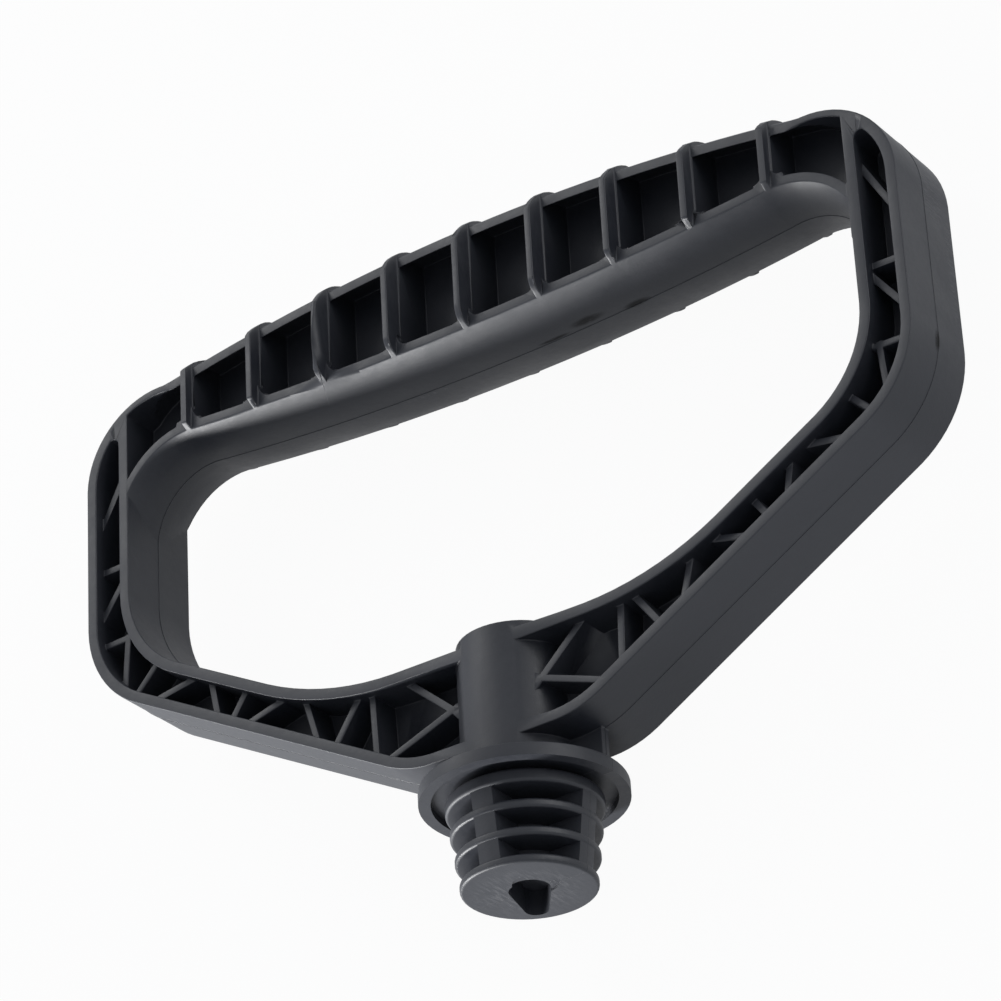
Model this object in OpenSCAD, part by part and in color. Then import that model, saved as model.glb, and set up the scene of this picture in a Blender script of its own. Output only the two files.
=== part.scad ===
// Pull handle for the starter rope of a small engine: one plastic moulding
// X runs across the handle, Y along the rope from the plug to the grip, Z out of the front face
// The origin is where the rope leaves the plug, and the mould parts at Z = 0

/* [Hand loop] */
// Overall width of the loop
loop_w = 150; // [130:1:180]
// Depth of the loop's walls, front to back
loop_depth = 15.4; // [13:0.2:18]
// Thickness of the loop's inner and outer walls
wall_t = 1.8; // [1.4:0.1:2.2]
// Thickness of the web half way through the loop
web_t = 1.6; // [1:0.1:2.4]
// Width of the upright sides, outside to window
side_w = 8.2; // [7:0.1:10]
// Width of the slanted arms, outside to window
arm_w = 7.8; // [7:0.1:10]
// Slope of the arms
arm_angle = 29.3; // [26:0.1:33]
// Height above the rope mouth where a side and an arm would meet
arm_corner_y = 54.6; // [52:0.1:58]
// Radius of the lower outside corner
low_corner_r = 18; // [14:0.5:22]
// Radius of the upper outside corner
top_corner_r = 14.5; // [12:0.5:15]
// How far that corner stands above the edge of the crest wall
corner_rise = 0.7; // [0.4:0.1:1]
// Radius of the window's lower corner
window_low_r = 18; // [14:0.5:22]
// Radius of the window's upper corner
window_top_r = 11.5; // [8:0.5:14]
// Height of the outside wall's underside beside the post
waist_y = 20.95; // [19.5:0.1:22]
// Height of the window's lower edge beside the post
window_low_y = 37.95; // [36:0.1:39]
// Radius where the outside wall turns into the arm
waist_r = 18; // [12:1:24]
// Radius where the window's lower edge turns into the arm
window_bend_r = 50; // [35:1:60]

// Height of the side pockets' upper end
pocket_top_y = 97.8; // [95:0.1:98.5]
// Radius of the side pockets' upper end
pocket_end_r = 1.3; // [0.8:0.1:1.8]

/* [Truss] */
// Thickness of the small ribs in the loop
truss_t = 1.1; // [0.8:0.1:1.6]
// How far the small ribs stop short of the wall edges
truss_set_back = 1.8; // [0.5:0.1:3]

/* [Grip] */
// Height of the grip's crest
crest_y = 112.85; // [110:0.1:116]
// Radius of the crest's arch, end to end
crest_arch_r = 335; // [280:5:450]
// Radius of the grip's rounded top, front to back
crest_r = 12.2; // [11.6:0.1:13]
// Where the rounded top starts to turn down into the upper corner
crown_x = 57.4; // [55:0.2:59]
// Height of the finger side at its middle
finger_y = 88.45; // [87:0.1:90]
// Radius of the finger side's arch, end to end
finger_arch_r = 463; // [400:5:600]
// Radius of the finger side's crown, front to back
finger_crown_r = 18; // [15:0.5:24]
// Depth of the ribbed grip at its middle, front to back
grip_depth = 22.2; // [20:0.2:23]
// Radius of the grip's barrel, end to end
barrel_r = 860; // [600:10:1500]
// Depth of the finger wall at its middle
finger_wall_depth = 17.8; // [16:0.2:20]
// Radius of the finger wall's edges, end to end
finger_wall_arch_r = 1860; // [1500:20:3000]
// Thickness of the finger wall
finger_wall_t = 1.4; // [1:0.1:2]
// Thickness of the crest wall
crest_wall_t = 1.2; // [0.9:0.1:2]
// How far the ribs stand proud of the crest wall
rib_proud = 0.7; // [0.4:0.1:1.2]
// Number of grip ribs
rib_count = 9; // [5:2:9]
// Spacing of the grip ribs
rib_pitch = 13.5; // [12:0.1:13.6]
// Thickness of a grip rib's rim
rib_t = 1.1; // [0.8:0.1:1.6]
// Thickness of a grip rib behind its rim
rib_root_t = 1.6; // [1.2:0.1:2.2]
// Radius of a grip rib's lower corners
rib_corner_r = 4.6; // [2:0.1:6]
// Radius where a rib meets the finger wall
rib_fillet_r = 2; // [1:0.1:2.5]

/* [Post and flange] */
// Radius of the post
post_r = 9; // [8.5:0.1:10]
// Height of the post's top
post_top_y = 39.45; // [38.6:0.1:42]
// Radius of the flange
flange_r = 15.5; // [14.5:0.1:17]
// Thickness of the flange at its rim
flange_t = 2.1; // [1.6:0.1:3]
// Height of the flange's rim above the rope mouth
flange_y = 14.25; // [14.2:0.05:16]
// Width of the flange's flat rim that seats on the housing
seat_w = 1.8; // [1.4:0.1:3]
// Depth of the dished underside inside that rim
dish_h = 1.1; // [0.6:0.1:1.5]
// Width of the moulded pad at the foot of the post
pad_w = 7.4; // [5:0.1:9]
// Height of the moulded pad
pad_h = 0.9; // [0.5:0.1:1.5]
// How far the pad stands out from the post
pad_reach = 2.4; // [1.5:0.1:4]
// Thickness of the gusset between flange and arms
gusset_t = 1.8; // [1.2:0.1:3]
// How far the gusset reaches to each side
gusset_reach = 14.5; // [11:0.1:15]

/* [Plug] */
// Radius of the plug at the rope mouth
plug_end_r = 10; // [9.5:0.1:10.5]
// Radius of the plug below the flange
plug_top_r = 11.8; // [11.2:0.1:12.5]
// Height of the plug's top disc
plug_h = 14.15; // [13.6:0.05:14.15]
// Thickness of the plug's discs
disc_t = 1.4; // [1:0.1:1.8]
// Thickness of the plug's top disc
top_disc_t = 2.1; // [1.4:0.1:2.4]
// Spacing of the plug's discs
disc_pitch = 4.1; // [3.6:0.05:4.2]
// Radius of a disc's rounded edge
disc_edge_r = 0.5; // [0.2:0.05:0.5]
// Thickness of the plug's cross ribs
cross_t = 3.6; // [2:0.1:4.2]
// How far the cross ribs stay inside the discs
cross_inset = 0.12; // [0.1:0.02:0.8]
// Radius of the neck between plug and flange
neck_r = 9; // [8:0.1:10]

/* [Rope passage] */
// Radius of the rope hole
rope_r = 3.1; // [2.5:0.1:3.4]
// Radius of the tube round the rope hole
rope_tube_r = 5.2; // [4.6:0.1:6]
// Radius of the slot's far end in the end face
slot_end_r = 1.8; // [1.2:0.1:2.2]
// Distance from the rope hole to the slot's far end
slot_reach = 6.6; // [4:0.1:7.5]
// Depth of the slot
slot_h = 4; // [1.6:0.1:4.6]
// Thickness of the wall round the slot
slot_wall = 1; // [0.6:0.1:1.4]
// Direction of the slot in the end face
slot_angle = 244; // [200:1:250]
// Radius of the thumb recess beside the hole
recess_r = 3.4; // [2.5:0.1:4]
// Depth of the thumb recess
recess_h = 0.4; // [0.2:0.1:0.8]
// Distance of the recess from the rope hole
recess_off = 2.4; // [1.5:0.1:3]
// Direction of the recess from the rope hole
recess_angle = 36; // [0:1:90]
// Radius of the knot pocket in the post
knot_r = 6; // [5:0.1:6.6]
// Depth of the knot pocket
knot_h = 9; // [6:0.5:12]

/* [Hidden] */
$fn = 96;
// Overlap that makes neighbouring solids one
lap = 0.02;
// How far the pieces that round a corner reach past it
corner_lap = 0.5;
// How far a rounding arc passes the straight lines it meets, so that they cross cleanly
seam = 0.005;
// How far a cutter reaches past what it cuts
over = 1;
// Fineness of the long arches
arch_fn = 360;
// Room that the cutting and clipping blocks leave round the grip
spare = 30;
half_w = loop_w / 2;
half_depth = loop_depth / 2;
side_x = half_w - side_w;
arm_dir = [cos(arm_angle), sin(arm_angle)];
arm_normal = [-sin(arm_angle), cos(arm_angle)];
arm_corner = [half_w, arm_corner_y];
crest_centre = crest_y - crest_arch_r;
finger_centre = finger_y + finger_arch_r;
rib_reach = (rib_count - 1) / 2;
// Drop of the crest wall's edge below its crown
crest_wall_r = crest_r - rib_proud;
crest_drop = crest_wall_r - sqrt(pow(crest_wall_r, 2) - pow(half_depth, 2));
corner_x = half_w - top_corner_r;
corner_y = crest_centre + corner_rise
    + sqrt(pow(crest_arch_r - rib_proud - crest_drop - top_corner_r, 2) - pow(corner_x, 2));
// Centre of the crown's ball end, a little proud of the crest so that they cross cleanly
crown_over = 0.05;
crown_y = crest_centre + crown_over + sqrt(pow(crest_arch_r - crest_r, 2) - pow(crown_x, 2));
// Where the long crest ends inside that ball
crest_end = crown_x * (crest_arch_r - rib_proud - crest_drop) / (crest_arch_r - crest_r);
ring_x = side_x - window_top_r;
ring_y = finger_centre - sqrt(pow(finger_arch_r + window_top_r, 2) - pow(ring_x, 2));
// Where the finger arch touches the window's corner, and how far the corner reaches into it
ring_meet = ring_x * finger_arch_r / (finger_arch_r + window_top_r);
ring_over = 0.05;
// How far the blocks that part the arch from the corner's ring pass that place, each way
arch_past = 0.2;
ring_past = 2.25;
flange_top = flange_y + flange_t;
groove_top = flange_y + dish_h;
knot_floor = post_top_y - knot_h;
// Small ribs of the sides: height above the arm corner at the inner and at the outer wall
side_ribs = [[39.4, 27.6], [20.9, 20.8], [20.2, 11.6], [7.8, 7.6]];
// Small ribs of the arms: distance from the arm corner at the inner and at the outer wall
arm_ribs = [[3.4, 6.2], [9.9, 8.2], [19.7, 12.1], [22.1, 27], [30.2, 29.6],
    [38.7, 32.4], [42.5, 48.4], [52.2, 51.6], [56.8, 60.5]];
// Small ribs beside the post: their slopes
post_ribs = [-20, 42];
// Height of the point where they meet, as seen from the waist
post_rib_h = 8.6;

// Point at a distance along the arm from its corner and across it towards the window
function on_arm(along, across) = arm_corner - along * arm_dir + across * arm_normal;
// Height of an arm's line at a place across the handle
function arm_y(x, across) = arm_corner_y + across / cos(arm_angle) - (half_w - x) * tan(arm_angle);
// Place across the handle where an arm's line reaches a height
function arm_x(y, across) = half_w - (arm_corner_y + across / cos(arm_angle) - y) / tan(arm_angle);
function unit(v) = v / norm(v);

// The area between a corner and the arc that rounds it, reaching a little past the corner
module corner_piece(p, a, b, r) {
    u = unit(a - p);
    v = unit(b - p);
    half = acos(u * v) / 2;
    centre = p + unit(u + v) * r / sin(half);
    past = unit(u + v) * corner_lap;
    first = p + u * r / tan(half);
    last = p + v * r / tan(half);
    difference() {
        polygon([p - past, first - past, first, centre, last, last - past]);
        translate(centre)
            circle(r + seam);
    }
}

module both_sides() {
    children();
    mirror([1, 0, 0])
        children();
}

// Outline of the loop, drawn in by a margin
module outer_outline(in) {
    x = half_w - in;
    low = waist_y + in;
    top = crest_y;
    corner = [x, arm_y(x, in)];
    bend = [arm_x(low, in), low];
    both_sides()
        difference() {
            polygon([[-lap, low], bend, corner, [x, top], [-lap, top]]);
            corner_piece(bend, [0, low], corner, waist_r - in);
            corner_piece(corner, bend, [x, top], low_corner_r - in);
        }
}

// Outline of the window below the grip, drawn out by a margin
module window_outline(out) {
    x = side_x + out;
    low = window_low_y - out;
    across = arm_w - out;
    corner = [x, arm_y(x, across)];
    bend = [arm_x(low, across), low];
    both_sides()
        difference() {
            polygon([[-lap, low], bend, corner, [x, ring_y + lap], [-lap, ring_y + lap]]);
            corner_piece(corner, bend, [x, ring_y], window_low_r + out);
            corner_piece(bend, [0, low], corner, window_bend_r + out);
        }
}

// Everything within a depth from front to back
module slab(depth) {
    translate([-loop_w, -loop_w, -depth / 2])
        cube([2 * loop_w, 4 * loop_w, depth]);
}

// Everything within a depth that narrows towards the ends of the grip
module barrel(depth, r) {
    intersection_for (side = [-1, 1])
        translate([0, crest_y, side * (depth / 2 - r)])
            rotate([90, 0, 0])
                cylinder(h = loop_w, r = r, center = true, $fn = arch_fn);
}

// The solid below the crest, with a rounded edge, drawn in by a margin
module crest_disc(in) {
    translate([0, crest_centre, 0])
        rotate_extrude($fn = arch_fn)
            intersection() {
                translate([crest_arch_r - crest_r, 0])
                    union() {
                        circle(crest_r - in);
                        translate([-crest_arch_r / 2, in - crest_r])
                            square([crest_arch_r / 2, 2 * (crest_r - in)]);
                    }
                translate([crest_arch_r / 2, -crest_r])
                    square([crest_arch_r, 2 * crest_r]);
            }
}

// The upper outside corner, drawn in by a margin
module top_corner(in) {
    translate([corner_x, corner_y, 0])
        cylinder(h = 2 * loop_depth, r = top_corner_r - in + seam, center = true);
}

// The ball in which the crown of the crest wall ends, drawn in by a margin
module crown_end(in) {
    translate([crown_x, crown_y, 0])
        sphere(crest_wall_r - in);
}

// Outside of the whole loop, front to back within the walls' depth, drawn in by a margin
module loop_outside(in) {
    intersection() {
        linear_extrude(loop_depth, center = true)
            outer_outline(in);
        union() {
            translate([-half_w - over, waist_y - spare, -loop_depth])
                cube([loop_w + 2 * over, corner_y - waist_y + spare, 2 * loop_depth]);
            intersection() {
                crest_disc(rib_proud + in);
                translate([-crest_end, corner_y - lap, -loop_depth])
                    cube([2 * crest_end, spare, 2 * loop_depth]);
            }
            both_sides() {
                top_corner(in);
                crown_end(in);
            }
        }
    }
}

// The space under the finger side, drawn out by a margin
module finger_space(out) {
    rim = finger_crown_r - out;
    difference() {
        translate([-ring_meet - arch_past, ring_y, -grip_depth])
            cube([2 * (ring_meet + arch_past), spare / 2, 2 * grip_depth]);
        translate([0, finger_centre, 0])
            rotate_extrude($fn = arch_fn)
                intersection() {
                    translate([finger_arch_r - finger_crown_r, 0])
                        circle(rim);
                    translate([finger_arch_r - finger_crown_r, -grip_depth / 2 - over])
                        square([finger_crown_r, grip_depth + 2 * over]);
                }
    }
    both_sides()
        intersection() {
            translate([ring_x, ring_y, 0])
                rotate_extrude()
                    difference() {
                        translate([0, -grip_depth / 2 - over])
                            square([window_top_r + finger_crown_r, grip_depth + 2 * over]);
                        translate([window_top_r + finger_crown_r + ring_over, 0])
                            circle(rim);
                    }
            translate([ring_meet - ring_past, ring_y, -grip_depth])
                cube([side_x + out - ring_meet + ring_past, spare / 2, 2 * grip_depth]);
        }
}

// The whole window, drawn out by a margin
module window_space(out) {
    linear_extrude(2 * grip_depth, center = true)
        window_outline(out);
    finger_space(out);
}

// The block above the window's upper corners, where the grip is
module grip_zone() {
    translate([-side_x - lap, ring_y + lap, -grip_depth])
        cube([2 * (side_x + lap), crest_y - ring_y, 2 * grip_depth]);
}

// Full rounded shape of the grip, which its ribs reach
module grip_shape() {
    difference() {
        intersection() {
            crest_disc(0);
            barrel(grip_depth, barrel_r);
            grip_zone();
        }
        finger_space(0);
    }
}

// One cross rib of the grip: a rim, a thicker root and a fillet on the finger wall
module grip_rib_block(x) {
    high = crest_y - ring_y;
    translate([x - rib_t / 2, ring_y, -grip_depth])
        cube([rib_t, high, 2 * grip_depth]);
    translate([x - rib_root_t / 2, ring_y, -half_depth])
        cube([rib_root_t, high, loop_depth]);
}

// The rounded feet of one rib where it meets the finger wall's inner face
module rib_feet(x) {
    rim = finger_crown_r - finger_wall_t;
    crown = rim - sqrt(pow(rim, 2) - pow(finger_wall_depth / 2, 2));
    foot_y = finger_y + finger_wall_t + crown + pow(x, 2) / (2 * finger_arch_r);
    linear_extrude(finger_wall_depth, center = true)
        translate([x, foot_y])
            rotate(asin(x / finger_arch_r))
                difference() {
                    translate([-rib_t / 2 - rib_fillet_r, -crown])
                        square([rib_t + 2 * rib_fillet_r, crown + rib_fillet_r]);
                    for (side = [-1, 1])
                        translate([side * (rib_t / 2 + rib_fillet_r), rib_fillet_r])
                            circle(rib_fillet_r + seam);
                }
}

module grip() {
    difference() {
        intersection() {
            grip_shape();
            union()
                for (k = [-rib_reach:rib_reach])
                    grip_rib_block(k * rib_pitch);
        }
        rib_corner_cut();
    }
    intersection() {
        difference() {
            union() {
                finger_space(finger_wall_t);
                for (k = [-rib_reach:rib_reach])
                    rib_feet(k * rib_pitch);
            }
            finger_space(0);
        }
        barrel(finger_wall_depth, finger_wall_arch_r);
    }
}

// What rounds the ribs' lower corners, front and back, along the finger arch
module rib_corner_cut() {
    middle = grip_depth / 2 - rib_corner_r;
    lower = finger_crown_r - sqrt(pow(finger_crown_r, 2) - pow(middle, 2));
    translate([0, finger_centre, 0])
        rotate_extrude($fn = arch_fn)
            for (side = [-1, 1])
                translate([finger_arch_r - lower - rib_corner_r, side * middle])
                    difference() {
                        translate([0, side > 0 ? 0 : -2 * rib_corner_r])
                            square(2 * rib_corner_r);
                        circle(rib_corner_r);
                    }
}

// Straight bar in the loop's plane, from one point through another
module bar(a, b, reach) {
    d = unit(b - a);
    n = [-d.y, d.x] * truss_t / 2;
    polygon([a - d * reach + n, b + d * reach + n, b + d * reach - n, a - d * reach - n]);
}

module truss() {
    inner_x = side_x + wall_t / 2;
    outer_x = half_w - wall_t / 2;
    middle = wall_t / 2;
    both_sides() {
        for (r = side_ribs)
            bar([inner_x, arm_corner_y + r[0]], [outer_x, arm_corner_y + r[1]], wall_t / 4);
        for (r = arm_ribs)
            bar(on_arm(r[0], arm_w - middle), on_arm(r[1], middle), side_w / 2);
        for (slope = post_ribs) {
            start = [post_r - truss_t, waist_y + post_rib_h];
            bar(start, start + [cos(slope), sin(slope)] * side_w, side_w / 2);
        }
    }
}

// The rounded upper end of a side's pocket
module pocket_end() {
    translate([side_x + wall_t, pocket_top_y - pocket_end_r])
        difference() {
            translate([-lap, 0])
                square([2 * pocket_end_r + lap, top_corner_r]);
            translate([pocket_end_r, 0])
                circle(pocket_end_r);
        }
}

// Outer wall, window wall, web and small ribs
module loop() {
    difference() {
        loop_outside(0);
        difference() {
            loop_outside(wall_t);
            slab(web_t);
            linear_extrude(loop_depth - 2 * truss_set_back, center = true)
                truss();
            linear_extrude(2 * loop_depth, center = true)
                both_sides()
                    translate([side_x, ring_y])
                        square([wall_t, crest_y - ring_y]);
            intersection() {
                linear_extrude(2 * loop_depth, center = true)
                    window_outline(wall_t);
                slab(loop_depth);
            }
            linear_extrude(2 * loop_depth, center = true)
                both_sides()
                    pocket_end();
        }
        intersection() {
            window_space(0);
            slab(2 * loop_depth);
        }
        crest_hollow();
    }
}

// The crest wall is thinner than the loop's outer wall
module crest_hollow() {
    difference() {
        intersection() {
            loop_outside(crest_wall_t);
            translate([-side_x, corner_y, -loop_depth])
                cube([2 * side_x, spare, 2 * loop_depth]);
        }
        slab(web_t);
        finger_space(finger_wall_t);
    }
}

module revolve_up() {
    rotate([-90, 0, 0])
        rotate_extrude()
            children();
}

module post() {
    revolve_up()
        translate([0, groove_top])
            square([post_r, post_top_y - groove_top]);
    translate([-pad_w / 2, flange_top - lap, 0])
        cube([pad_w, pad_h, post_r + pad_reach]);
    linear_extrude(gusset_t, center = true)
        difference() {
            translate([-gusset_reach, flange_top - lap])
                square([2 * gusset_reach, arm_corner_y - flange_top]);
            both_sides()
                outer_outline_above();
        }
}

// Everything above the middle of the outer wall's underside
module outer_outline_above() {
    translate([0, wall_t / 2])
        outer_outline(0);
    translate([-lap, waist_y + wall_t])
        square([loop_w, crest_y]);
}

module flange() {
    revolve_up()
        polygon([[0, flange_top], [flange_r, flange_top], [flange_r, flange_y],
            [flange_r - seat_w, flange_y], [flange_r - seat_w, groove_top], [0, groove_top]]);
}

// One disc with a rounded edge
module disc(y, thick, r) {
    translate([0, y, 0])
        revolve_up()
            union() {
                square([r - disc_edge_r, thick]);
                for (h = [disc_edge_r, thick - disc_edge_r])
                    translate([r - disc_edge_r, h])
                        circle(disc_edge_r);
                translate([0, disc_edge_r])
                    square([r, thick - 2 * disc_edge_r]);
            }
}

function plug_r(y) = plug_end_r + (plug_top_r - plug_end_r) * y / plug_h;

// Tapered plug: discs on a tube, with ribs across both ways
module plug() {
    for (k = [0:2])
        disc(k * disc_pitch, disc_t, plug_r(k * disc_pitch + disc_t / 2));
    disc(plug_h - top_disc_t, top_disc_t, plug_r(plug_h - top_disc_t / 2));
    intersection() {
        revolve_up()
            polygon([[0, 0], [plug_end_r - cross_inset, 0],
                [plug_top_r - cross_inset, plug_h], [0, plug_h]]);
        for (turn = [0, 90])
            rotate([0, turn, 0])
                translate([-plug_top_r, disc_t / 2, -cross_t / 2])
                    cube([2 * plug_top_r, plug_h - disc_t, cross_t]);
    }
    translate([0, disc_pitch + disc_t / 2, 0])
        rotate([90, 0, 0])
            linear_extrude(disc_pitch)
                slot_outline(slot_wall);
    revolve_up()
        square([rope_tube_r, groove_top + lap]);
    revolve_up()
        translate([0, plug_h - disc_t])
            square([neck_r, groove_top - plug_h + disc_t + lap]);
}

// The keyhole slot beside the rope hole, drawn out by a margin
module slot_outline(out) {
    tip = slot_reach * [cos(slot_angle), sin(slot_angle)];
    lean = asin((rope_r - slot_end_r) / slot_reach);
    left = [cos(slot_angle + 90 - lean), sin(slot_angle + 90 - lean)];
    right = [cos(slot_angle - 90 + lean), sin(slot_angle - 90 + lean)];
    translate(tip)
        circle(slot_end_r + out);
    polygon([(rope_r + out) * left, tip + (slot_end_r + out) * left,
        tip + (slot_end_r + out) * right, (rope_r + out) * right]);
}

// Rope hole, knot pocket, and the slot and recess of the end face
module rope_passage() {
    revolve_up()
        translate([0, -over])
            square([rope_r, knot_floor + over + lap]);
    revolve_up()
        translate([0, knot_floor])
            square([knot_r, knot_h + over]);
    translate([0, slot_h, 0])
        rotate([90, 0, 0])
            linear_extrude(slot_h + over)
                slot_outline(0);
    translate([recess_off * cos(recess_angle), recess_h, recess_off * sin(recess_angle)])
        rotate([90, 0, 0])
            cylinder(h = over + recess_h, r = recess_r);
}

module handle() {
    color([0.24, 0.245, 0.26])
        difference() {
            union() {
                loop();
                grip();
                post();
                flange();
                plug();
            }
            rope_passage();
        }
}

handle();
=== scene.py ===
# %% [markdown]
# # A starter pull handle in black plastic
# The real handle is one injection moulding: a ribbed grip, a loop of two thin walls braced
# by small ribs, a post that holds the knot, and a ringed plug that seats in the housing.
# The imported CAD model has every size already, so this file gives it what a moulding has and
# a CAD solid lacks: softened edges, a parting line, the grain of the steel and some wear.

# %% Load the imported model
import math

import bmesh
import bpy
import numpy as np
from mathutils import Matrix, Vector
from mathutils.bvhtree import BVHTree


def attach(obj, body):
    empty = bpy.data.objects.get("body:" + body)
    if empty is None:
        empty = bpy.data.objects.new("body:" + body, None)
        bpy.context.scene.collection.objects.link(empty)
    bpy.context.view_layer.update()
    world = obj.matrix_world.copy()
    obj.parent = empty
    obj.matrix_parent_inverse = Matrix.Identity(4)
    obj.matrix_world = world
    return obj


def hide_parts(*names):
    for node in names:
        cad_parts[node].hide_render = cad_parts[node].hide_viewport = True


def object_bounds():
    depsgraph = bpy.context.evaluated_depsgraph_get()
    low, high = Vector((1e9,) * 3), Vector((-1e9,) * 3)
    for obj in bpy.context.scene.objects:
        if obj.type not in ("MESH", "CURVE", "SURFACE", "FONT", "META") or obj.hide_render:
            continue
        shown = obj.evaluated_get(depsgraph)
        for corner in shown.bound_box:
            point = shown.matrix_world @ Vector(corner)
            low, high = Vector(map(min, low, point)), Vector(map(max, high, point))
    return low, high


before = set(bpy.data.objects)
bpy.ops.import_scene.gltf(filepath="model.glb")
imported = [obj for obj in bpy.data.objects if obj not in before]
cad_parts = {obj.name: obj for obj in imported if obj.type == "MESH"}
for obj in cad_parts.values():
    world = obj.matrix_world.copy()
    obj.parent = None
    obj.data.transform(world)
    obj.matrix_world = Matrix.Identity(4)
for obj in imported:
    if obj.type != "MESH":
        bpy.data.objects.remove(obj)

cad_low, cad_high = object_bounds()
MM = 0.001
print("CAD box in mm:", [round(v / MM, 1) for v in cad_high - cad_low])

# %% [markdown]
# ## The camera
# The camera's place was worked out from the photograph with the handle's own symmetry: the
# two halves of the loop match, so only one viewpoint puts both of them where they are seen.
# A long lens far away keeps the perspective weak, as in the photograph.

# %% Camera at the photograph's viewpoint
AZIMUTH, TILT, ROLL = 33.47, -29.52, -3.2
AIM = Vector((-1.31, 65.01, 0.0)) * MM
DISTANCE = 706.36 * MM
PIXELS, FOCAL_PIXELS, SENSOR = 1001, 4696.39, 36.0


def photo_camera():
    """Looks back along d = (sin az cos tilt, sin tilt, cos az cos tilt), then rolls about d."""
    az, tilt, roll = (math.radians(a) for a in (AZIMUTH, TILT, ROLL))
    back = Vector((math.sin(az) * math.cos(tilt), math.sin(tilt), math.cos(az) * math.cos(tilt)))
    right = Vector((0, 1, 0)).cross(back).normalized()
    up = back.cross(right)
    across = math.cos(roll) * right + math.sin(roll) * up
    upward = math.cos(roll) * up - math.sin(roll) * right
    data = bpy.data.cameras.new("photo_camera")
    data.sensor_width = SENSOR
    data.lens = FOCAL_PIXELS / PIXELS * SENSOR
    data.clip_start, data.clip_end = 0.01, 20
    camera = bpy.data.objects.new("photo_camera", data)
    turn = Matrix((across, upward, back)).transposed().to_4x4()
    camera.matrix_world = Matrix.Translation(AIM + back * DISTANCE) @ turn
    bpy.context.scene.collection.objects.link(camera)
    bpy.context.scene.camera = camera
    return camera


camera = photo_camera()
print("camera at", [round(v, 3) for v in camera.matrix_world.translation])

# %% [markdown]
# ## Colours and nodes
# Colours are written as sRGB hex, as read off a screen, and turned to linear once. One small
# helper adds any node with its settings and links, which keeps each material short.

# %% Helpers for colours and nodes


def colour(code):
    """sRGB hex to linear RGBA: v / 12.92 near black, else ((v + 0.055) / 1.055) to the power 2.4."""
    values = [int(code[i:i + 2], 16) / 255 for i in (1, 3, 5)]
    return tuple(v / 12.92 if v <= 0.04045 else ((v + 0.055) / 1.055) ** 2.4 for v in values) + (1.0,)


def add(tree, kind, links=(), inputs=(), **settings):
    """A node of one kind: settings are its own, inputs are (socket, value), links (socket, output)."""
    node = tree.nodes.new(kind)
    for name, value in settings.items():
        setattr(node, name, value)
    for socket, value in inputs:
        node.inputs[socket].default_value = value
    for socket, output in links:
        tree.links.new(output, node.inputs[socket])
    return node


def new_material(name):
    """A material with an empty tree and its output."""
    material = bpy.data.materials.new(name)
    material.use_nodes = True
    material.node_tree.nodes.clear()
    return material, material.node_tree, material.node_tree.nodes.new("ShaderNodeOutputMaterial")


print("charcoal in linear:", [round(v, 3) for v in colour("#2a2b2e")[:3]])

# %% [markdown]
# ## The moulding
# A CAD edge is a mathematical line and catches no light. A mould's edge is cut with a small
# radius, so each edge of the real part shows a fine highlight. The solid's mesh is copied,
# its loose triangles are joined, and a bevel of a fifth of a millimetre rounds the edges above
# the plug. The plug's close rings have no room for it and stay sharp. In some tight corners the
# bevel throws a point off the surface, so a search takes it off the edges beside such points.
# It clears most of them, and the few that it leaves are short.

# %% Copy the solid and round its edges
# In mm: edge radius, height below which edges stay sharp, and gap closed between triangles
EDGE_R, PLUG_TOP, MERGE = 0.2, 16.0, 0.004
# An edge is sharp when its faces turn by more than this many degrees
SHARP = 34
# How strongly large faces pull the shading at their corners: 50 is neutral, 100 the most
LARGE_FACE_PULL = 90
# Rounds of the search, and how much further than the nearest edge it reaches, in mm
CALMING_ROUNDS, CALMING_REACH = 4, 2 * EDGE_R
# Keeps a division safe where an edge has no length
TINY = 1e-18


def moulding_from(node):
    """A copy of a CAD node's mesh, doubles merged, with a small bevel on sharp edges above the plug."""
    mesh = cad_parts[node].data.copy()
    shape = bmesh.new()
    shape.from_mesh(mesh)
    bmesh.ops.remove_doubles(shape, verts=shape.verts, dist=MERGE * MM)
    weight = shape.edges.layers.float.new("bevel_weight_edge")
    for edge in shape.edges:
        middle = (edge.verts[0].co + edge.verts[1].co) / 2
        sharp = edge.is_manifold and edge.calc_face_angle() > math.radians(SHARP)
        rounded = sharp and middle.y > PLUG_TOP * MM
        edge[weight] = 1.0 if rounded else 0.0
        edge.smooth = rounded or not sharp
    for face in shape.faces:
        face.smooth = True
    shape.to_mesh(mesh)
    shape.free()
    piece = bpy.data.objects.new("moulded_handle", mesh)
    bpy.context.scene.collection.objects.link(piece)
    bevel = piece.modifiers.new("edge_radius", "BEVEL")
    bevel.width = EDGE_R * MM
    bevel.segments = 2
    bevel.limit_method = "WEIGHT"
    bevel.use_clamp_overlap = False
    steady = piece.modifiers.new("flat_faces_stay_flat", "WEIGHTED_NORMAL")
    steady.mode = "FACE_AREA_WITH_ANGLE"
    steady.weight = LARGE_FACE_PULL
    steady.keep_sharp = True
    return piece


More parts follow.
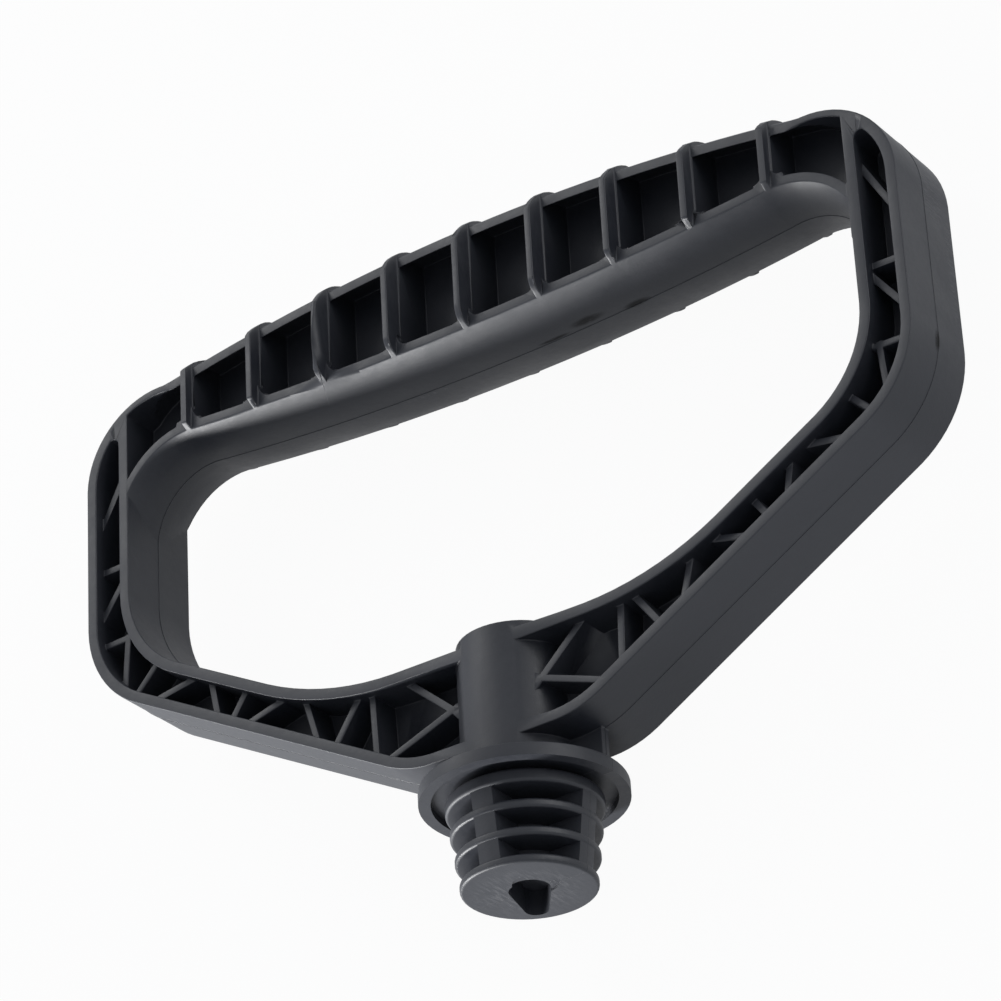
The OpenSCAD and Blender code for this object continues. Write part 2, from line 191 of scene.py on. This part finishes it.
def keep_wild_edges_sharp(piece, solid):
    """Takes the bevel off the edges beside each point that it throws further than its radius away.

    The gap to an edge is |a + t * (b - a) - place|, with t held between 0 and 1.
    """
    skin = BVHTree.FromPolygons([v.co for v in solid.vertices], [p.vertices for p in solid.polygons])
    weight = piece.data.attributes["bevel_weight_edge"].data
    wild_ever = 0
    for attempt in range(CALMING_ROUNDS):
        graph = bpy.context.evaluated_depsgraph_get()
        shaped = piece.evaluated_get(graph).to_mesh()
        wild = [v.co.copy() for v in shaped.vertices if skin.find_nearest(v.co)[3] > EDGE_R * MM]
        piece.evaluated_get(graph).to_mesh_clear()
        if not wild:
            break
        wild_ever += len(wild)
        ends = np.array([[piece.data.vertices[i].co for i in e.vertices] for e in piece.data.edges])
        along = ends[:, 1] - ends[:, 0]
        for place in np.array(wild):
            t = ((place - ends[:, 0]) * along).sum(1) / np.maximum((along ** 2).sum(1), TINY)
            gap = np.linalg.norm(ends[:, 0] + np.clip(t, 0, 1)[:, None] * along - place, axis=1)
            for i in np.flatnonzero(gap < gap.min() + CALMING_REACH * MM):
                weight[i].value = 0.0
        piece.data.update()
    return wild_ever


handle = moulding_from("handle")
print("points found off the surface:", keep_wild_edges_sharp(handle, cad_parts["handle"].data))
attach(handle, "root")
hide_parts("handle")
print("triangles in the moulding:", len(handle.data.polygons))

# %% [markdown]
# ## The parting line
# Melt creeps a hair's breadth into the joint of the two mould halves and leaves a fine raised
# line round the loop, the grip and the window. Its path is where the plane Z = 0 cuts the
# moulding, so it is read off the mesh, and each short stretch gets a low, flat-topped ridge.

# %% Raise the parting line
# The ridge's section in mm: height, half widths of top and foot, depth sunk, lap at each end
FLASH_H, FLASH_TOP, FLASH_FOOT, FLASH_SUNK, FLASH_LAP = 0.07, 0.06, 0.2, 0.05, 0.04
# The line leaves out the post, within these, and all that is below the flange's top, in mm
POST_R, POST_TOP, FLANGE_TOP = 9.3, 40.0, 16.6
# Lean of the skin past which it faces front or back, and shortest stretch kept in mm
MOST_LEAN, SHORTEST = 0.3, 0.01
# Distance in metres within which a corner counts as on the plane
ON_PLANE = 1e-7


def parting_path(piece):
    """Start, end and outward direction of every stretch where the plane Z = 0 cuts the skin, in mm."""
    shape = bmesh.new()
    shape.from_mesh(piece.data)
    everything = shape.verts[:] + shape.edges[:] + shape.faces[:]
    cut = bmesh.ops.bisect_plane(shape, geom=everything, dist=ON_PLANE, plane_no=(0, 0, 1), clear_outer=True)
    rim = [e for e in cut["geom_cut"] if isinstance(e, bmesh.types.BMEdge) and len(e.link_faces) == 1]
    ends = np.array([[v.co for v in e.verts] for e in rim]) / MM
    outward = np.array([e.link_faces[0].normal for e in rim])
    shape.free()
    middle = ends.mean(axis=1)
    on_post = (np.abs(middle[:, 0]) < POST_R) & (middle[:, 1] < POST_TOP)
    steep = np.abs(outward[:, 2]) < MOST_LEAN
    kept = (middle[:, 1] > FLANGE_TOP) & ~on_post & steep
    return ends[kept, 0], ends[kept, 1], outward[kept]


def flash_ridges(start, end, outward):
    """Prisms along the stretches: corner = end point + height * outward + side * z, ends lapped."""
    along = end - start
    length = np.linalg.norm(along, axis=1)
    start, end, outward, along = (v[length > SHORTEST] for v in (start, end, outward, along))
    along /= np.linalg.norm(along, axis=1)[:, None]
    section = np.array([(-FLASH_SUNK, -FLASH_FOOT), (FLASH_H, -FLASH_TOP),
                        (FLASH_H, FLASH_TOP), (-FLASH_SUNK, FLASH_FOOT)])
    offset = section[None, :, :1] * outward[:, None, :] + section[None, :, 1:] * np.array([0.0, 0.0, 1.0])
    first, last = start - FLASH_LAP * along, end + FLASH_LAP * along
    points = np.concatenate([first[:, None] + offset, last[:, None] + offset], axis=1)
    box = np.array([(0, 1, 2, 3), (7, 6, 5, 4), (0, 4, 5, 1), (1, 5, 6, 2), (2, 6, 7, 3), (3, 7, 4, 0)])
    faces = (np.arange(len(points))[:, None, None] * 8 + box).reshape(-1, 4)
    mesh = bpy.data.meshes.new("parting_line")
    mesh.from_pydata((points.reshape(-1, 3) * MM).tolist(), [], faces.tolist())
    shape = bmesh.new()
    shape.from_mesh(mesh)
    bmesh.ops.recalc_face_normals(shape, faces=shape.faces)
    shape.to_mesh(mesh)
    shape.free()
    piece = bpy.data.objects.new("parting_line", mesh)
    bpy.context.scene.collection.objects.link(piece)
    return piece


flash = flash_ridges(*parting_path(handle))
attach(flash, "root")
print("stretches of parting line:", len(flash.data.polygons) // 6)

# %% [markdown]
# ## Glass-filled nylon, injection moulded
# The handle is black nylon with short glass fibre. The mould's faces were spark-eroded, which
# leaves a fine grain, and the fibres near the skin break the gloss into a soft grey sheen.
# The mould's draft, the slope that lets the part out, turns the light a little differently on
# each side of the parting line. Handling has left pale scuffs at the corner and on the plug's
# end. Along the finger side, streaks of painted shade make the colour near black.

# %% Where the handle is rubbed, and where shade is painted
# Centre and reach of each place in mm: pale scuffs, then painted shade along the finger side
SCUFFS = [((74.5, 90.5, -2.5), (4.0, 9.0, 5.0)), ((75.0, 78.0, -6.3), (2.0, 14.0, 1.6)),
          ((-14.0, 88.7, -0.6), (7.0, 2.0, 0.5)), ((-52.0, 27.0, 1.0), (9.0, 6.0, 4.0)),
          ((0.0, 0.0, 0.0), (10.5, 0.8, 10.5))]
# Places where shade is painted into the colour as dark streaks along the finger side
SHADE_SPOTS = [((17.2, 88.7, 1.6), (3.8, 2.0, 1.1)), ((25.5, 89.0, 0.4), (3.0, 2.0, 1.0)),
          ((10.5, 88.6, 0.6), (3.6, 2.0, 0.5)), ((75.0, 63.2, 0.3), (1.5, 2.2, 0.9))]
# Width of a scuff's scratch, then of a streak of painted shade: across the handle, from plug to grip, and
# front to back, in mm
SCUFF_GRAIN, SHADE_GRAIN = (0.5, 0.5, 2.5), (2.0, 0.6, 0.35)
# Noise at which a scuff's scratch, then a streak of painted shade, starts to show, and at which it shows in
# full
SCUFF_LEVELS, SHADE_LEVELS = (0.45, 0.70), (0.25, 0.45)
# Shares of a place's reach between which its marks fade out
FADE_FROM, FADE_TO = 0.3, 1.0


# Builds the mask of the real scuffs, and also the mask of the painted shade
def scuff_and_shade_mask(tree, place, spots, grain, low, high):
    """Largest of a fade on |(p - centre) / reach| over the places, times noise between low and high."""
    best = None
    for centre, reach in spots:
        inside = add(tree, "ShaderNodeVectorMath", operation="MULTIPLY_ADD", links=[(0, place)],
                     inputs=[(1, [1 / (r * MM) for r in reach]),
                             (2, [-c / r for c, r in zip(centre, reach)])])
        gap = add(tree, "ShaderNodeVectorMath", operation="LENGTH",
                  links=[(0, inside.outputs["Vector"])])
        near = add(tree, "ShaderNodeMapRange", interpolation_type="SMOOTHSTEP",
                   links=[("Value", gap.outputs["Value"])],
                   inputs=[("From Min", FADE_FROM), ("From Max", FADE_TO),
                           ("To Min", 1.0), ("To Max", 0.0)]).outputs["Result"]
        best = near if best is None else add(tree, "ShaderNodeMath", operation="MAXIMUM",
                                             links=[(0, best), (1, near)]).outputs[0]
    stretched = add(tree, "ShaderNodeVectorMath", operation="MULTIPLY", links=[(0, place)],
                    inputs=[(1, [1 / (w * MM) for w in grain])])
    streak = add(tree, "ShaderNodeTexNoise", links=[("Vector", stretched.outputs["Vector"])],
                 inputs=[("Scale", 1.0), ("Detail", 4.0), ("Roughness", 0.65)])
    lines = add(tree, "ShaderNodeMapRange", links=[("Value", streak.outputs["Fac"])],
                inputs=[("From Min", low), ("From Max", high), ("To Min", 0.0), ("To Max", 1.0)])
    return add(tree, "ShaderNodeMath", operation="MULTIPLY",
               links=[(0, best), (1, lines.outputs["Result"])]).outputs[0]


print("scuffed places:", len(SCUFFS), "smeared places:", len(SHADE_SPOTS))

# %% Height of the mould's marks
# Spark erosion leaves a grain of about 0.1 mm, too fine to show, so it is drawn coarser.
# In mm: size of grain and ripple, then height of grain, ripple and scratches
GRAIN, RIPPLE = 0.4, 3.5
GRAIN_H, RIPPLE_H, SCRATCH_H = 0.012, 0.05, 0.03
# Slope of the sides in degrees, away from the parting line
DRAFT = 1.2
# The line at Z = 0: half width in mm, share of it that is flat on top, height in mm
PART_HALF, PART_FLAT, PART_H = 0.11, 0.4, 0.07


def height_of_mould(tree, place, rubbed):
    """Metres: grain noise + wide ripple + flash near Z = 0 + scratches, minus |z| * tan(draft)."""
    split = add(tree, "ShaderNodeSeparateXYZ", links=[(0, place)])
    far = add(tree, "ShaderNodeMath", operation="ABSOLUTE", links=[(0, split.outputs["Z"])])
    grain = add(tree, "ShaderNodeTexNoise", links=[("Vector", place)],
                inputs=[("Scale", 1 / (GRAIN * MM)), ("Detail", 2.0), ("Roughness", 0.6)])
    ripple = add(tree, "ShaderNodeTexNoise", links=[("Vector", place)],
                 inputs=[("Scale", 1 / (RIPPLE * MM)), ("Detail", 2.0), ("Roughness", 0.5)])
    line = add(tree, "ShaderNodeMapRange", interpolation_type="SMOOTHSTEP",
               links=[("Value", far.outputs[0])],
               inputs=[("From Min", PART_FLAT * PART_HALF * MM), ("From Max", PART_HALF * MM),
                       ("To Min", PART_H * MM), ("To Max", 0.0)])
    total = line.outputs["Result"]
    slope = -math.tan(math.radians(DRAFT))
    for source, factor in ((grain.outputs["Fac"], GRAIN_H * MM), (ripple.outputs["Fac"], RIPPLE_H * MM),
                           (rubbed, SCRATCH_H * MM), (far.outputs[0], slope)):
        total = add(tree, "ShaderNodeMath", operation="MULTIPLY_ADD", links=[(0, source), (2, total)],
                    inputs=[(1, factor)]).outputs[0]
    return total


print("grain", GRAIN, "mm, ripple", RIPPLE, "mm, draft", DRAFT, "degrees")

# %% Material: black nylon
# The fourth colour, near black, is painted shade along the finger side and its parting line
DARK, LIGHT, SCUFFED, PAINTED_SHADE_TONE = "#25282f", "#303238", "#4e4f53", "#0e0f11"
# Size in mm of the melt's flow marks and of the fibre specks, and the specks' share of the tone
FLOW, SPECK, SPECK_SHARE = 16, 0.9, 0.35
# Noise between which the tone drifts, and the roughness at both ends of that drift
DRIFT, ROUGHNESS = (0.35, 0.65), (0.40, 0.56)
# Roughness added by scuffs, and where shade is painted
SCUFF_DULLS, SHADE_DULLS = 0.12, 0.35
IOR = 1.53


def nylon_material():
    """Charcoal that drifts between two tones with the melt's flow, paler and rougher where rubbed, near black
    and rougher where shade is painted.
    """
    material, tree, out = new_material("black_glass_filled_nylon")
    place = add(tree, "ShaderNodeTexCoord").outputs["Object"]
    rubbed = scuff_and_shade_mask(tree, place, SCUFFS, SCUFF_GRAIN, *SCUFF_LEVELS)
    # Mask of the streaks of painted shade along the finger side
    painted_shade = scuff_and_shade_mask(tree, place, SHADE_SPOTS, SHADE_GRAIN, *SHADE_LEVELS)
    flow = add(tree, "ShaderNodeTexNoise", links=[("Vector", place)],
               inputs=[("Scale", 1 / (FLOW * MM)), ("Detail", 5.0), ("Roughness", 0.6), ("Distortion", 0.6)])
    speck = add(tree, "ShaderNodeTexNoise", links=[("Vector", place)],
                inputs=[("Scale", 1 / (SPECK * MM)), ("Detail", 3.0), ("Roughness", 0.7)])
    tone = add(tree, "ShaderNodeMix", data_type="FLOAT", inputs=[("Factor", SPECK_SHARE)],
               links=[("A", flow.outputs["Fac"]), ("B", speck.outputs["Fac"])]).outputs["Result"]
    drift = [("From Min", DRIFT[0]), ("From Max", DRIFT[1])]
    shade = add(tree, "ShaderNodeMapRange", links=[("Value", tone)],
                inputs=drift + [("To Min", 0.0), ("To Max", 1.0)])
    tint = add(tree, "ShaderNodeMix", data_type="RGBA", links=[("Factor", shade.outputs["Result"])],
               inputs=[("A", colour(DARK)), ("B", colour(LIGHT))]).outputs["Result"]
    dull = add(tree, "ShaderNodeMapRange", links=[("Value", tone)],
               inputs=drift + [("To Min", ROUGHNESS[0]), ("To Max", ROUGHNESS[1])]).outputs["Result"]
    # Scuffs mix in a paler tone, then the second mix paints shade in near black
    for mask, code, more in ((rubbed, SCUFFED, SCUFF_DULLS), (painted_shade, PAINTED_SHADE_TONE, SHADE_DULLS)):
        tint = add(tree, "ShaderNodeMix", data_type="RGBA", links=[("Factor", mask), ("A", tint)],
                   inputs=[("B", colour(code))]).outputs["Result"]
        dull = add(tree, "ShaderNodeMath", operation="MULTIPLY_ADD", links=[(0, mask), (2, dull)],
                   inputs=[(1, more)]).outputs[0]
    bump = add(tree, "ShaderNodeBump", links=[("Height", height_of_mould(tree, place, rubbed))],
               inputs=[("Strength", 1.0), ("Distance", 1.0)])
    skin = add(tree, "ShaderNodeBsdfPrincipled", inputs=[("IOR", IOR)],
               links=[("Base Color", tint), ("Roughness", dull), ("Normal", bump.outputs["Normal"])])
    tree.links.new(skin.outputs["BSDF"], out.inputs["Surface"])
    return material


nylon = nylon_material()
for piece in (handle, flash):
    piece.data.materials.clear()
    piece.data.materials.append(nylon)
print("material:", nylon.name)

# %% [markdown]
# ## Studio
# The handle lies on its back on a white table in a bright room. Most light comes from the
# lower left. The camera and the gloss see the table and the room as white, so the background
# is plain, and the light that falls on the part stays moderate.

# %% Table
FLOOR_Z = cad_low.z - 0.02 * MM
# Half side in metres, how white the camera sees the table, and how white the gloss sees it
TABLE_HALF, TABLE_WHITE, MIRRORED_WHITE = 4.0, 0.95, 0.45


def seen_white(tree):
    """1 for rays from the camera, less for mirrored rays, 0 for the rays that light the part."""
    ray = add(tree, "ShaderNodeLightPath")
    mirrored = add(tree, "ShaderNodeMath", operation="MULTIPLY", links=[(0, ray.outputs["Is Glossy Ray"])],
                   inputs=[(1, MIRRORED_WHITE)])
    return add(tree, "ShaderNodeMath", operation="MAXIMUM",
               links=[(0, ray.outputs["Is Camera Ray"]), (1, mirrored.outputs[0])]).outputs[0]


def studio_floor():
    """A plane of one face under the lowest point: x, y = +-half, z = floor. Matt white paper."""
    corners = np.array([[-1, -1], [1, -1], [1, 1], [-1, 1]]) * TABLE_HALF
    points = np.column_stack([corners, np.full(4, FLOOR_Z)])
    mesh = bpy.data.meshes.new("table")
    mesh.from_pydata(points.tolist(), [], [(0, 1, 2, 3)])
    floor = bpy.data.objects.new("table", mesh)
    bpy.context.scene.collection.objects.link(floor)
    material, tree, out = new_material("white_table")
    paper = add(tree, "ShaderNodeBsdfDiffuse", inputs=[("Color", colour("#f4f4f4"))])
    white = add(tree, "ShaderNodeEmission", inputs=[("Color", (1, 1, 1, 1)), ("Strength", 1.0)])
    lift = add(tree, "ShaderNodeMath", operation="MULTIPLY", links=[(0, seen_white(tree))],
               inputs=[(1, TABLE_WHITE)])
    mix = add(tree, "ShaderNodeMixShader",
              links=[("Fac", lift.outputs[0]), (1, paper.outputs[0]), (2, white.outputs[0])])
    tree.links.new(mix.outputs[0], out.inputs["Surface"])
    mesh.materials.append(material)


studio_floor()
print("table at z =", round(FLOOR_Z / MM, 2), "mm")

# %% Lamps and room
ROOM_LIGHT = 0.38


def soft_lamp(name, towards, distance, wide, tall, power):
    """An area lamp, sizes in metres and power in watts, that faces the handle's middle."""
    middle = (cad_low + cad_high) / 2
    direction = Vector(towards).normalized()
    data = bpy.data.lights.new(name, "AREA")
    data.shape, data.size, data.size_y, data.energy = "RECTANGLE", wide, tall, power
    lamp = bpy.data.objects.new(name, data)
    lamp.location = middle + direction * distance
    lamp.rotation_euler = direction.to_track_quat("Z", "Y").to_euler()
    bpy.context.scene.collection.objects.link(lamp)


def bright_room():
    """A world that is white to the camera and to gloss, and a dimmer even light to the rest."""
    room = bpy.data.worlds.new("bright_room")
    bpy.context.scene.world = room
    room.use_nodes = True
    tree = room.node_tree
    tree.nodes.clear()
    out = add(tree, "ShaderNodeOutputWorld")
    light = add(tree, "ShaderNodeBackground", inputs=[("Color", colour("#eef4ff")), ("Strength", ROOM_LIGHT)])
    white = add(tree, "ShaderNodeBackground", inputs=[("Color", (1, 1, 1, 1)), ("Strength", 1.0)])
    mix = add(tree, "ShaderNodeMixShader",
              links=[("Fac", seen_white(tree)), (1, light.outputs[0]), (2, white.outputs[0])])
    tree.links.new(mix.outputs[0], out.inputs["Surface"])


soft_lamp("window_lamp", (-0.50, 0.60, 0.50), distance=0.9, wide=0.4, tall=0.4, power=2)
soft_lamp("low_left_lamp", (-0.78, -0.62, 0.03), distance=1.0, wide=0.8, tall=0.08, power=18)
soft_lamp("fill_lamp", (0.88, 0.38, 0.28), distance=1.3, wide=0.8, tall=0.6, power=4)
bright_room()
bpy.context.scene.view_settings.view_transform = "Standard"
